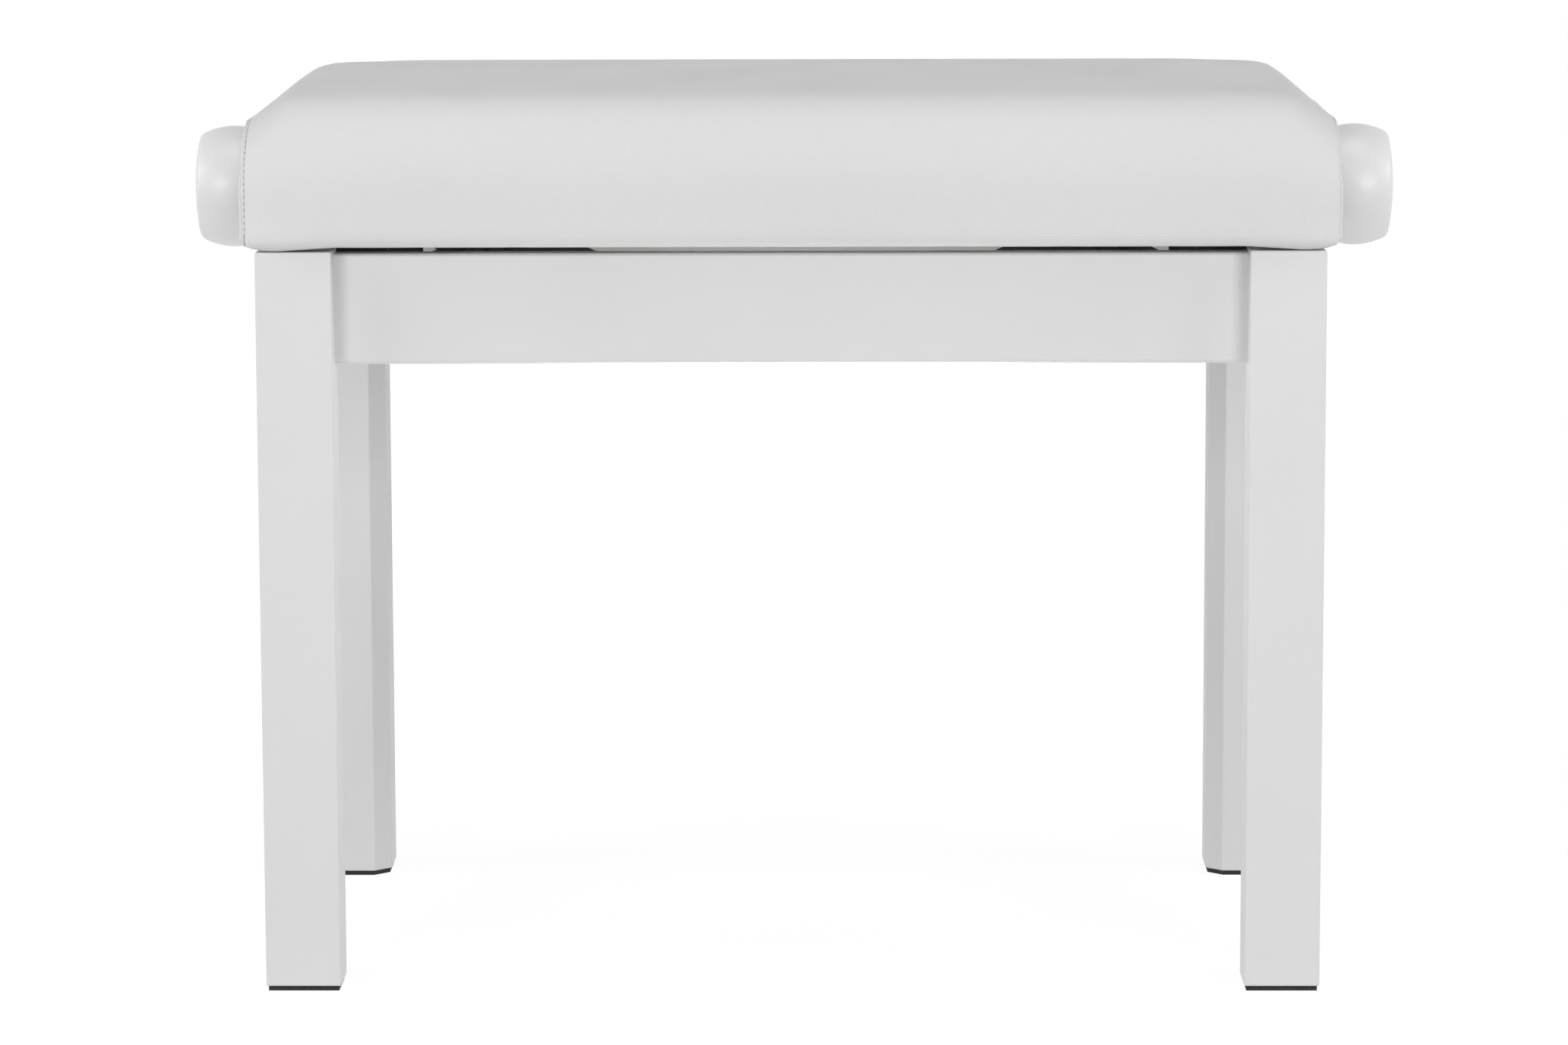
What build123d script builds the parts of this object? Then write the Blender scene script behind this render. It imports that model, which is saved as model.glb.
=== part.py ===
from build123d import *
import os
from math import acos, asin, cos, degrees, exp, sqrt

# Height-adjustable piano bench, in millimetres, shown with its seat at the lowest height.
# X runs along the seat, Y from front to back and Z up. The origin is on the floor under the middle.

# Leg frame
frame_width = 546.0
frame_depth = 335.0
leg_size = 39.0
leg_length = 382.0
leg_chamfer = 9.0
leg_ease = 1.2
leg_end_ease = 1.0
pad_height = 2.5
pad_inset = 1.2
rail_thickness = 15.0
rail_height = 57.0
rail_drop = 2.0
rail_ease = 2.0

# Corner blocks and the hanger bolts that pull each leg into its corner
block_thickness = 20.0
block_gap = 3.0
block_height = 36.0
block_lift = 7.0
bolt_diameter = 8.0
bolt_grip = 26.0
bolt_tail = 5.0
bolt_spacing = 18.0
washer_diameter = 18.0
washer_thickness = 1.6
nut_width = 13.0
nut_height = 6.5

# Scissor lift
lift_travel = 80.0
arm_length = 155.0
arm_width = 20.0
arm_thickness = 4.0
arm_clearance = 0.5
pivot_inset = 17.0
pivot_height = 342.0
shaft_diameter = 10.0
head_diameter = 14.0
head_height = 2.5
head_bevel = 1.2
rivet_diameter = 8.0
run_clearance = 0.1
slot_clearance = 0.3

# Steel tracks and brackets
track_thickness = 3.0
track_height = 28.0
track_inset = 59.5
track_corner = 2.0
track_end_gap = 1.0
flange_width = 22.0
ear_width = 36.0
ear_drop = 6.0
bracket_reach = 36.0
bracket_foot = 16.0
bracket_rise = 38.0
bracket_slant = 6.0
bracket_slant_drop = 14.0
screw_diameter = 4.0
screw_length = 12.0
screw_head = 8.0
screw_head_height = 2.2
track_screw_bite = 6.4

# Screw spindle, nut bars and knobs
spindle_height = 406.0
spindle_diameter = 12.0
thread_depth = 1.0
nut_block = 24.0
nut_block_bevel = 3.0
nut_bar_size = 14.0
collar_diameter = 24.0
collar_width = 9.0
bush_wall = 3.0
bush_flange = 28.0
bush_flange_thickness = 2.4
knob_length = 40.0
knob_diameter = 64.6
knob_face_diameter = 55.8
knob_neck_diameter = 54.0
knob_belly = 17.5
knob_dome = 2.8
knob_edge = 1.6
knob_gap = 1.0
knob_bore_depth = 26.0
insert_wall = 3.0

# Seat
seat_overhang_x = 8.5
seat_overhang_y = 7.0
seat_gap = 2.0
seat_thickness = 84.5
seat_round = 36.0
seat_hem = 5.0
crown_radius = 1750.0
end_drop = 15.5
end_reach = 46.0
end_power = 2.6
corner_round = 4.0
corner_fade = 5.0
end_steps = [0.0, 0.07, 0.17, 0.33, 0.56, 1.0]
end_draw_in = 3.0
cover_thickness = 1.5
cover_ease = 0.2
board_thickness = 8.0
board_corner = 12.0
slat_thickness = 18.0
slat_height = 36.0
wadding_x = 3.0
wadding_y = 2.5
board_screw_length = 30.0
board_screw_inset = 38.0
overcut = 1.0

# Places that follow from the sizes above
half_width = frame_width / 2
half_depth = frame_depth / 2
leg_top = pad_height + leg_length
rail_top = leg_top - rail_drop
rail_bottom = rail_top - rail_height
inner_x = half_width - leg_size + leg_chamfer
inner_y = half_depth - leg_size + leg_chamfer
pivot_x = inner_x - pivot_inset
nut_x = pivot_x - sqrt(arm_length**2 - (spindle_height - pivot_height)**2)
top_rise = spindle_height - pivot_height + lift_travel
nut_x_top = pivot_x - sqrt(arm_length**2 - top_rise**2)
middle_x = (pivot_x + nut_x) / 2
middle_z = (pivot_height + spindle_height) / 2
track_place = inner_y - track_inset
track_inner = track_place - track_thickness
lift_arm_y = track_inner - arm_clearance - arm_thickness
brace_arm_y = lift_arm_y - arm_clearance - arm_thickness
thread_diameter = spindle_diameter + 2 * thread_depth
seat_bottom = leg_top + seat_gap
seat_top = seat_bottom + seat_thickness
seat_half_x = half_width + seat_overhang_x
seat_half_y = half_depth + seat_overhang_y
slat_bottom = seat_bottom + cover_thickness
board_bottom = slat_bottom + slat_height
board_top = board_bottom + board_thickness
slat_out_x = seat_half_x - end_draw_in - cover_thickness - wadding_x
slat_out_y = seat_half_y - cover_thickness - wadding_y
slat_in_x = slat_out_x - slat_thickness
slat_in_y = slat_out_y - slat_thickness
end_face_x = seat_half_x - end_draw_in + run_clearance
bush_out_x = end_face_x + bush_flange_thickness
knob_in_x = bush_out_x + knob_gap
knob_out_x = knob_in_x + knob_length
bush_diameter = spindle_diameter + 2 * (bush_wall + run_clearance)

CORNERS = {"front_left": (-1, -1), "front_right": (1, -1), "back_left": (-1, 1), "back_right": (1, 1)}
SIDES = {"left": -1, "right": 1}
FACES = {"front": -1, "back": 1}
nodes = {}


def turned(part, side_x=1, side_y=1):
    """Mirror a piece that is drawn at the back right to another side or corner."""
    if side_x < 0:
        part = mirror(part, about=Plane.YZ)
    if side_y < 0:
        part = mirror(part, about=Plane.XZ)
    return part


def rod(start, direction, length, diameter):
    """A round bar from a point along a direction."""
    return Solid.make_cylinder(diameter / 2, length, Plane(origin=start, z_dir=direction))


def upright(sketch, y_low, y_high):
    """A plate from an outline drawn in X and Z, between two values of Y."""
    face = Plane(origin=(0, y_high, 0), x_dir=(1, 0, 0), z_dir=(0, -1, 0)) * sketch
    return extrude(face, amount=y_high - y_low)


def block(x_range, y_range, z_range):
    """A box between two values on each axis."""
    sizes = [high - low for low, high in (x_range, y_range, z_range)]
    centre = [(high + low) / 2 for low, high in (x_range, y_range, z_range)]
    return Pos(*centre) * Box(*sizes)


def group(solids):
    """Separate solids that share one node."""
    return Compound(children=[piece for part in solids for piece in part.solids()])


def on_corners(part):
    return group([turned(part, *sides) for sides in CORNERS.values()])


def pan_screw(length):
    """A pan-head wood screw along +Z, with the underside of its head at the origin."""
    shank = rod((0, 0, 0), (0, 0, 1), length, screw_diameter)
    head = rod((0, 0, -screw_head_height), (0, 0, 1), screw_head_height, screw_head)
    return shank + chamfer(head.edges().group_by(Axis.Z)[0], head_bevel)


def leg_section(inset=0.0):
    """The leg's square section with its chamfered inner corner, for the back right leg."""
    low_x = half_width - leg_size + inset
    low_y = half_depth - leg_size + inset
    high_x = half_width - inset
    high_y = half_depth - inset
    cut = leg_chamfer - inset * (2 - sqrt(2))
    points = [(low_x + cut, low_y), (high_x, low_y), (high_x, high_y), (low_x, high_y), (low_x, low_y + cut)]
    return make_face(Polyline(*points, close=True))


def bolt_line():
    """The middle of the leg's chamfer at each bolt height, and the way out into the leg."""
    mid_x = half_width - leg_size + leg_chamfer / 2
    mid_y = half_depth - leg_size + leg_chamfer / 2
    mid_z = rail_bottom + block_lift + block_height / 2
    heights = (mid_z - bolt_spacing / 2, mid_z + bolt_spacing / 2)
    return [Vector(mid_x, mid_y, height) for height in heights], Vector(1, 1, 0).normalized()


def make_legs():
    points, outward = bolt_line()
    leg = extrude(Pos(0, 0, pad_height) * leg_section(), amount=leg_length)
    leg = fillet(leg.edges().filter_by(Axis.Z), leg_ease)
    leg = fillet(leg.edges().group_by(Axis.Z)[-1] + leg.edges().group_by(Axis.Z)[0], leg_end_ease)
    for point in points:
        leg -= rod(point, outward, bolt_grip, bolt_diameter + 2 * run_clearance)
    pad = extrude(leg_section(pad_inset), amount=pad_height)
    for corner, sides in CORNERS.items():
        nodes["leg_" + corner] = turned(leg, *sides)
        nodes["foot_pad_" + corner] = turned(pad, *sides)


def make_rails():
    """Four rails between the legs, their inner faces level with the edges of the leg chamfers."""
    span_x = half_width - leg_size
    span_y = half_depth - leg_size
    z_range = (rail_bottom, rail_top)
    long_rail = block((-span_x, span_x), (inner_y, inner_y + rail_thickness), z_range)
    long_rail = fillet(long_rail.edges().filter_by(Axis.X), rail_ease)
    short_rail = block((inner_x, inner_x + rail_thickness), (-span_y, span_y), z_range)
    short_rail = fillet(short_rail.edges().filter_by(Axis.Y), rail_ease)
    for place in bracket_screw_places():
        for side in FACES.values():
            hole = turned(rod(place, (1, 0, 0), screw_length, screw_diameter + 2 * run_clearance), 1, side)
            short_rail -= hole
    for face, side in FACES.items():
        nodes["rail_" + face] = turned(long_rail, 1, side)
    for side_name, side in SIDES.items():
        nodes["rail_" + side_name] = turned(short_rail, side)


def make_corner_blocks():
    """Blocks glued across the inner corners, with two hanger bolts each into the leg."""
    points, outward = bolt_line()
    chamfer_sum = inner_x + half_depth - leg_size
    near = chamfer_sum - block_gap * sqrt(2)
    far = chamfer_sum - (block_gap + block_thickness) * sqrt(2)
    outline = [(inner_x, near - inner_x), (inner_x, far - inner_x), (far - inner_y, inner_y),
               (near - inner_y, inner_y)]
    foot = rail_bottom + block_lift
    corner_block = extrude(Pos(0, 0, foot) * make_face(Polyline(*outline, close=True)), amount=block_height)
    bolts, washers, nuts = [], [], []
    seat_at = block_gap + block_thickness
    length = bolt_grip + seat_at + washer_thickness + nut_height + bolt_tail
    for point in points:
        corner_block -= rod(point, -outward, seat_at + 1, bolt_diameter + 2 * run_clearance)
        bolts.append(rod(point + outward * bolt_grip, -outward, length, bolt_diameter))
        hole = rod(point, -outward, length, bolt_diameter + 2 * run_clearance)
        washers.append(rod(point - outward * seat_at, -outward, washer_thickness, washer_diameter) - hole)
        nut_plane = Plane(origin=point - outward * (seat_at + washer_thickness), z_dir=-outward)
        hexagon = RegularPolygon(radius=nut_width / 2, side_count=6, major_radius=False)
        nuts.append(extrude(nut_plane * hexagon, amount=nut_height) - hole)
    for corner, sides in CORNERS.items():
        nodes["corner_block_" + corner] = turned(corner_block, *sides)
    nodes["leg_bolts"] = on_corners(group(bolts))
    nodes["leg_bolt_washers"] = on_corners(group(washers))
    nodes["leg_bolt_nuts"] = on_corners(group(nuts))


def bracket_screw_places():
    """Where the two screws of a bracket meet its foot, at the back right."""
    head_x = inner_x - track_thickness
    place_y = track_place + track_thickness + (bracket_foot - track_thickness) / 2
    return [Vector(head_x, place_y, pivot_height + dz) for dz in (-track_height / 4, track_height / 4)]


def slot_outline(centre_z):
    """A slot for a sliding bar, from its rest place to its raised place, on the right side."""
    height = shaft_diameter + 2 * slot_clearance
    slot = SlotCenterToCenter(nut_x_top - nut_x, height)
    return Pos((nut_x + nut_x_top) / 2, centre_z) * slot


def make_lower_tracks():
    """Slotted bars across the frame, welded to angle brackets that are screwed to the side rails."""
    hole = Pos(pivot_x, pivot_height) * Circle(shaft_diameter / 2 + run_clearance)
    half_length = inner_x - track_thickness - track_end_gap
    outline = Pos(0, pivot_height) * RectangleRounded(2 * half_length, track_height, track_corner)
    for cut in (hole, slot_outline(pivot_height)):
        outline -= cut
        outline -= mirror(cut, about=Plane.YZ)
    track = upright(outline, track_inner, track_place)
    foot_low = pivot_height - track_height / 2
    top = pivot_height + bracket_rise
    inner_end = inner_x - bracket_reach
    plate_points = [(inner_x, foot_low), (inner_x, top), (inner_end + bracket_slant, top),
                    (inner_end, top - bracket_slant_drop), (inner_end, foot_low)]
    plate = make_face(Polyline(*plate_points, close=True)) - hole
    plate = upright(plate, track_place, track_place + track_thickness)
    foot = block((inner_x - track_thickness, inner_x), (track_place, track_place + bracket_foot),
                 (foot_low, pivot_height + track_height / 2))
    bracket = plate + foot
    screws = []
    for place in bracket_screw_places():
        bracket -= rod(place, (1, 0, 0), screw_length, screw_diameter + 2 * run_clearance)
        screws.append(Pos(*place) * Rot(0, 90, 0) * pan_screw(screw_length))
    for face, side in FACES.items():
        nodes["lower_track_" + face] = turned(track, 1, side)
    for side_name, side in SIDES.items():
        pair = [turned(bracket, side, depth) for depth in FACES.values()]
        nodes["pivot_brackets_" + side_name] = group(pair)
    nodes["bracket_screws"] = on_corners(group(screws))


def headed_shaft(x, z, reach, diameter):
    """A cross shaft along Y with a peened head at each end."""
    shaft = rod((x, -reach, z), (0, 1, 0), 2 * reach, diameter)
    for side in FACES.values():
        head = rod((x, side * reach, z), (0, side, 0), head_height, head_diameter)
        shaft += chamfer(head.edges().group_by(Axis.Y)[-1 if side > 0 else 0], head_bevel)
    return shaft


def arm_plate(low, high, y_low):
    """A flat arm between two pivots, with its three holes, standing at y_low."""
    rise = (Vector(*high) - Vector(*low))
    angle = degrees(acos(rise.X / rise.length))
    outline = SlotCenterToCenter(arm_length, arm_width)
    outline -= Circle(rivet_diameter / 2 + run_clearance)
    for end in (-arm_length / 2, arm_length / 2):
        outline -= Pos(end, 0) * Circle(shaft_diameter / 2 + run_clearance)
    outline = Pos((low[0] + high[0]) / 2, (low[1] + high[1]) / 2) * Rot(0, 0, angle) * outline
    return upright(outline, y_low, y_low + arm_thickness)


def pivot_rivet():
    """The rivet where the two arms of a scissor cross, at the back right."""
    start = brace_arm_y - run_clearance
    grip = lift_arm_y + arm_thickness + run_clearance - start
    shank = rod((middle_x, start, middle_z), (0, 1, 0), grip, rivet_diameter)
    for at, way in ((start, -1), (start + grip, 1)):
        head = rod((middle_x, at, middle_z), (0, way, 0), head_height, head_diameter)
        shank += chamfer(head.edges().group_by(Axis.Y)[-1 if way > 0 else 0], head_bevel)
    return shank


def make_scissors():
    """Two scissors, each with a front and a back pair of arms that cross at a rivet."""
    outer_low = (pivot_x, pivot_height)
    outer_high = (pivot_x, spindle_height)
    inner_low = (nut_x, pivot_height)
    inner_high = (nut_x, spindle_height)
    lift_arm = arm_plate(outer_low, inner_high, lift_arm_y)
    brace_arm = arm_plate(inner_low, outer_high, brace_arm_y)
    bracket_out = track_place + track_thickness + arm_clearance
    pivot_shaft = headed_shaft(pivot_x, pivot_height, bracket_out, shaft_diameter)
    slide_bar = headed_shaft(nut_x, pivot_height, track_place + arm_clearance, shaft_diameter)
    rivet = pivot_rivet()
    for side_name, side in SIDES.items():
        for face, depth in FACES.items():
            nodes[f"lift_arm_{face}_{side_name}"] = turned(lift_arm, side, depth)
            nodes[f"brace_arm_{face}_{side_name}"] = turned(brace_arm, side, depth)
        nodes["pivot_shaft_" + side_name] = turned(pivot_shaft, side)
        nodes["slide_bar_" + side_name] = turned(slide_bar, side)
        pair = [turned(rivet, side, depth) for depth in FACES.values()]
        nodes["scissor_rivets_" + side_name] = group(pair)


def make_nut_bars():
    """Cross bars with a threaded block on the spindle and round ends that run in the upper tracks."""
    bar_end = lift_arm_y - arm_clearance
    bar = block((nut_x - nut_bar_size / 2, nut_x + nut_bar_size / 2), (-bar_end, bar_end),
                (spindle_height - nut_bar_size / 2, spindle_height + nut_bar_size / 2))
    body = Pos(nut_x, 0, spindle_height) * Box(nut_block, nut_block, nut_block)
    body = chamfer(body.edges().filter_by(Axis.X), nut_block_bevel)
    bar += body + headed_shaft(nut_x, spindle_height, track_place + arm_clearance, shaft_diameter)
    bar -= rod((nut_x - nut_block, 0, spindle_height), (1, 0, 0), 2 * nut_block,
               thread_diameter + 2 * run_clearance)
    for side_name, side in SIDES.items():
        nodes["nut_bar_" + side_name] = turned(bar, side)


def track_screw_places():
    """Where the upper tracks are screwed up into the board, along the back flange."""
    place_y = track_place + (flange_width - track_thickness) / 2
    place_z = board_bottom - track_thickness
    reach = inner_x - ear_width / 2
    return [Vector(x, place_y, place_z) for x in (-reach, -nut_x / 2, nut_x / 2, reach)]


def make_upper_tracks():
    """Slotted angle bars under the seat board, each with a deeper ear at both outer pivots."""
    end = inner_x - track_end_gap
    ear = end - ear_width
    low = spindle_height - track_height / 2
    ear_low = low - ear_drop
    points = [(-end, board_bottom), (end, board_bottom), (end, ear_low), (ear + ear_drop, ear_low),
              (ear, low), (-ear, low), (-ear - ear_drop, ear_low), (-end, ear_low)]
    hole = Pos(pivot_x, spindle_height) * Circle(shaft_diameter / 2 + run_clearance)
    outline = make_face(Polyline(*points, close=True))
    for cut in (hole, slot_outline(spindle_height)):
        outline -= cut
        outline -= mirror(cut, about=Plane.YZ)
    track = upright(outline, track_inner, track_place)
    track += block((-end, end), (track_place, track_inner + flange_width),
                   (board_bottom - track_thickness, board_bottom))
    screws = []
    for place in track_screw_places():
        track -= rod(place, (0, 0, 1), track_thickness, screw_diameter + 2 * run_clearance)
        screws.append(Pos(*place) * pan_screw(track_thickness + track_screw_bite))
    shoulder_in = brace_arm_y + arm_thickness + run_clearance
    pin_start = brace_arm_y - run_clearance - head_height
    pin_length = track_place + head_height - pin_start
    pin = rod((pivot_x, pin_start, spindle_height), (0, 1, 0), pin_length, shaft_diameter)
    pin += rod((pivot_x, shoulder_in, spindle_height), (0, 1, 0), track_inner - shoulder_in, head_diameter)
    for at in (pin_start, track_place):
        pin += rod((pivot_x, at, spindle_height), (0, 1, 0), head_height, head_diameter)
    for face, side in FACES.items():
        nodes["upper_track_" + face] = turned(track, 1, side)
    nodes["track_screws"] = group([turned(group(screws), 1, side) for side in FACES.values()])
    nodes["upper_pivot_pins"] = on_corners(pin)


def seat_profile(half_y, top, round_radius, bottom, hem):
    """The seat's upright outline: hemmed foot, straight sides, rolled edges and crown."""
    lean = asin((half_y - round_radius) / (crown_radius - round_radius))
    side_top = top - crown_radius + (crown_radius - round_radius) * cos(lean)
    turn = 90 - degrees(lean)
    foot = Line((-half_y + hem, bottom), (half_y - hem, bottom))
    back_hem = JernArc(foot @ 1, (1, 0), hem, 90)
    back = Line(back_hem @ 1, (half_y, side_top))
    back_roll = JernArc(back @ 1, (0, 1), round_radius, turn)
    crown = JernArc(back_roll @ 1, back_roll % 1, crown_radius, 2 * degrees(lean))
    front_roll = JernArc(crown @ 1, crown % 1, round_radius, turn)
    front = Line(front_roll @ 1, (-half_y, bottom + hem))
    front_hem = JernArc(front @ 1, (0, -1), hem, 90)
    return make_face([foot, back_hem, back, back_roll, crown, front_roll, front, front_hem])


def seat_form(inset, bottom, hem):
    """The padded seat, smaller by an inset, lofted end to end with its ends drawn in at the middle."""
    half_x = seat_half_x - inset
    places = [(step * end_reach - half_x, step) for step in end_steps]
    places += [(half_x - step * end_reach, step) for step in reversed(end_steps)]
    sections = []
    for x, step in places:
        half_y = seat_half_y - inset - corner_round * exp(-step * end_reach / corner_fade)
        top = seat_top - inset - end_drop * (1 - step)**end_power
        profile = seat_profile(half_y, top, seat_round - inset, bottom, hem)
        sections.append(Plane(origin=(x, 0, 0), x_dir=(0, 1, 0), z_dir=(1, 0, 0)) * profile)
    form = loft(sections, ruled=True)
    radius = (seat_half_y**2 + end_draw_in**2) / (2 * end_draw_in)
    for side in SIDES.values():
        cut = Cylinder(radius, 2 * seat_thickness, align=(Align.CENTER, Align.CENTER, Align.MAX))
        form -= Pos(side * (half_x - end_draw_in + radius), 0, seat_top + overcut) * cut
    return form


def spindle_hole(diameter):
    """A hole through both ends of the seat on the spindle's line."""
    return rod((-seat_half_x, 0, spindle_height), (1, 0, 0), 2 * seat_half_x, diameter)


def make_seat():
    """A shallow wooden box with its board, foam, side wadding and a cover that wraps under the slats."""
    bush_hole = spindle_hole(bush_diameter + 2 * run_clearance)
    long_slat = block((-slat_out_x, slat_out_x), (slat_in_y, slat_out_y), (slat_bottom, board_bottom))
    short_slat = block((slat_in_x, slat_out_x), (-slat_in_y, slat_in_y), (slat_bottom, board_bottom))
    short_slat -= bush_hole
    board = block((-slat_out_x, slat_out_x), (-slat_out_y, slat_out_y), (board_bottom, board_top))
    board = fillet(board.edges().filter_by(Axis.Z), board_corner)
    screw_hole = screw_diameter + 2 * run_clearance
    for place in track_screw_places():
        for side in FACES.values():
            board -= turned(rod(place, (0, 0, 1), track_thickness + track_screw_bite, screw_hole), 1, side)
    screw = Rot(180, 0, 0) * rod((0, 0, 0), (0, 0, 1), board_screw_length, screw_diameter)
    sink = Pos(0, 0, -screw_head / 4)
    screw += sink * Cone(screw_diameter / 2, screw_head / 2, screw_head / 2)
    sunk_hole = Rot(180, 0, 0) * rod((0, 0, 0), (0, 0, 1), board_screw_length, screw_hole)
    sunk_hole += sink * Cone(screw_hole / 2, screw_head / 2 + run_clearance, screw_head / 2)
    screws = []
    middle_y = slat_out_y - slat_thickness / 2
    reach = slat_in_x - board_screw_inset
    for x in (-reach, 0, reach):
        place = Pos(x, middle_y, board_top)
        hole = place * sunk_hole
        long_slat -= hole
        board -= hole
        board -= turned(hole, 1, -1)
        screws.append(place * screw)
    below = (seat_bottom - overcut, board_top)
    box_below = block((-slat_out_x, slat_out_x), (-slat_out_y, slat_out_y), below)
    opening = block((-slat_in_x, slat_in_x), (-slat_in_y, slat_in_y), below)
    inner_hem = wadding_y / 2
    cover = seat_form(0, seat_bottom, seat_hem) - seat_form(cover_thickness, slat_bottom, inner_hem)
    cover = cover - opening - bush_hole
    filling = seat_form(cover_thickness + cover_ease, slat_bottom, inner_hem)
    above = block((-seat_half_x, seat_half_x), (-seat_half_y, seat_half_y), (board_top, seat_top + overcut))
    for face, side in FACES.items():
        nodes["seat_slat_" + face] = turned(long_slat, 1, side)
    for side_name, side in SIDES.items():
        nodes["seat_slat_" + side_name] = turned(short_slat, side)
    nodes["seat_board"] = board
    nodes["board_screws"] = group([turned(group(screws), 1, side) for side in FACES.values()])
    nodes["seat_foam"] = filling & above
    nodes["seat_wadding"] = filling - above - box_below - bush_hole
    nodes["seat_cover"] = cover


def make_spindle():
    """The spindle with its two threaded stretches, collars, bushes and turned knobs."""
    spindle_end = knob_in_x + knob_bore_depth
    spindle = rod((-spindle_end, 0, spindle_height), (1, 0, 0), 2 * spindle_end, spindle_diameter)
    thread_from = nut_x - nut_block
    thread_to = nut_x_top + nut_block
    collar_x = slat_in_x - arm_clearance - collar_width
    for side in SIDES.values():
        start = (side * thread_from, 0, spindle_height)
        spindle += rod(start, (side, 0, 0), thread_to - thread_from, thread_diameter)
    bore = spindle_hole(spindle_diameter + 2 * run_clearance)
    collar = rod((collar_x, 0, spindle_height), (1, 0, 0), collar_width, collar_diameter) - bore
    bush = rod((slat_in_x, 0, spindle_height), (1, 0, 0), bush_out_x - slat_in_x, bush_diameter)
    bush += rod((end_face_x, 0, spindle_height), (1, 0, 0), bush_flange_thickness, bush_flange)
    bush -= rod((0, 0, spindle_height), (1, 0, 0), knob_out_x, spindle_diameter + 2 * run_clearance)
    knob = make_knob()
    insert_diameter = spindle_diameter + 2 * insert_wall
    insert = rod((knob_in_x, 0, spindle_height), (1, 0, 0), knob_bore_depth, insert_diameter)
    insert -= rod((0, 0, spindle_height), (1, 0, 0), knob_out_x, spindle_diameter + 2 * run_clearance)
    nodes["spindle"] = spindle
    nodes["spindle_collars"] = group([turned(collar, side) for side in SIDES.values()])
    nodes["spindle_bushes"] = group([turned(bush, side) for side in SIDES.values()])
    for side_name, side in SIDES.items():
        nodes["knob_" + side_name] = turned(knob, side)
    nodes["knob_inserts"] = group([turned(insert, side) for side in SIDES.values()])


def make_knob():
    """The right knob, turned as a barrel with a slightly domed face and a blind bore."""
    face_x = knob_out_x - knob_dome
    bore_radius = spindle_diameter / 2 + insert_wall + run_clearance
    bore_end = knob_in_x + knob_bore_depth + run_clearance
    barrel = ThreePointArc((face_x, knob_face_diameter / 2), (knob_out_x - knob_belly, knob_diameter / 2),
                           (knob_in_x, knob_neck_diameter / 2))
    back = Line(barrel @ 1, (knob_in_x, bore_radius))
    bore = Polyline((knob_in_x, bore_radius), (bore_end, bore_radius), (bore_end, 0), (knob_out_x, 0))
    dome_radius = ((knob_face_diameter / 2)**2 + knob_dome**2) / (2 * knob_dome)
    dome_turn = degrees(asin(knob_face_diameter / 2 / dome_radius))
    dome = JernArc((knob_out_x, 0), (0, 1), dome_radius, dome_turn)
    profile = make_face([barrel, back, bore, dome])
    knob = revolve(Plane.XZ * profile, Axis.X)
    rims = knob.edges().filter_by(lambda edge: edge.is_closed).sort_by(SortBy.RADIUS)[-2:]
    return Pos(0, 0, spindle_height) * fillet(rims, knob_edge)


for make in (make_legs, make_rails, make_corner_blocks, make_lower_tracks, make_scissors, make_nut_bars,
             make_upper_tracks, make_seat, make_spindle):
    make()

os.makedirs("parts", exist_ok=True)
for name, part in nodes.items():
    export_step(part, f"parts/{name}.step")
print(len(nodes), "nodes; the seat rises", lift_travel, "mm from", round(seat_top, 1))
arm_angles = [degrees(asin(rise / arm_length)) for rise in (top_rise - lift_travel, top_rise)]
print("arm angle at rest and raised:", [round(angle, 3) for angle in arm_angles])
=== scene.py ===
# %% [markdown]
# A white piano bench, finished around its CAD frame.
# The frame brings every rigid piece at its real place: legs, rails, steel lift, spindle and wooden
# seat box. This lesson adds what CAD leaves plain: the padded cover with its seams and stitches,
# the turned knobs, the spindle's thread, the staples under the hem, and a finish for each surface.

# %% Load the frame
import math

import bmesh
import bpy
from mathutils import Matrix, Vector
from mathutils.bvhtree import BVHTree


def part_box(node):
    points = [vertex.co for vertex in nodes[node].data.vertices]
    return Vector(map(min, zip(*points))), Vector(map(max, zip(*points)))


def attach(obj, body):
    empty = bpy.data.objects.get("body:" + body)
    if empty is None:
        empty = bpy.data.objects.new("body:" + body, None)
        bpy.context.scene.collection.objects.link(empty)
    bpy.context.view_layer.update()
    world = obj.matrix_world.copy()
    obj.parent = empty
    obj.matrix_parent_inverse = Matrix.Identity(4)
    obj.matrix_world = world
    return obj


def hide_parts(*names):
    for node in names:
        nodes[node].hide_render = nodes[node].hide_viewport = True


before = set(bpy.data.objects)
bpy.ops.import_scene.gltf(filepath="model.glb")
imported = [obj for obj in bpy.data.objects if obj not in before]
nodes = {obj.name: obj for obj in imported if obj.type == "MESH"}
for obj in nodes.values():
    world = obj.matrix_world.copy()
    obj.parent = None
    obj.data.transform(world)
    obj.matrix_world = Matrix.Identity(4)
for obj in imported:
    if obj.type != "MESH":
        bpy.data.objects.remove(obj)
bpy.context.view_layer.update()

MM = 0.001

# %% [markdown]
# A finished piece is a mesh object at the origin that rides on one body of the frame.
# One helper turns a mesh into such an object, so that every later cell stays short.

# %% A helper that makes a piece
scene = bpy.context.scene


def add_piece(name, mesh, material, body, smooth=True):
    """Link a mesh or bmesh as a piece of the object that rides on a body."""
    if isinstance(mesh, bmesh.types.BMesh):
        data = bpy.data.meshes.new(name)
        mesh.to_mesh(data)
        mesh.free()
        mesh = data
    mesh.name = name
    piece = bpy.data.objects.new(name, mesh)
    scene.collection.objects.link(piece)
    mesh.materials.clear()
    mesh.materials.append(material)
    mesh.polygons.foreach_set("use_smooth", [smooth] * len(mesh.polygons))
    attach(piece, body)
    print("made", name, "with", len(mesh.polygons), "faces")
    return piece


print("pieces go to", scene.collection.name)

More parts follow.
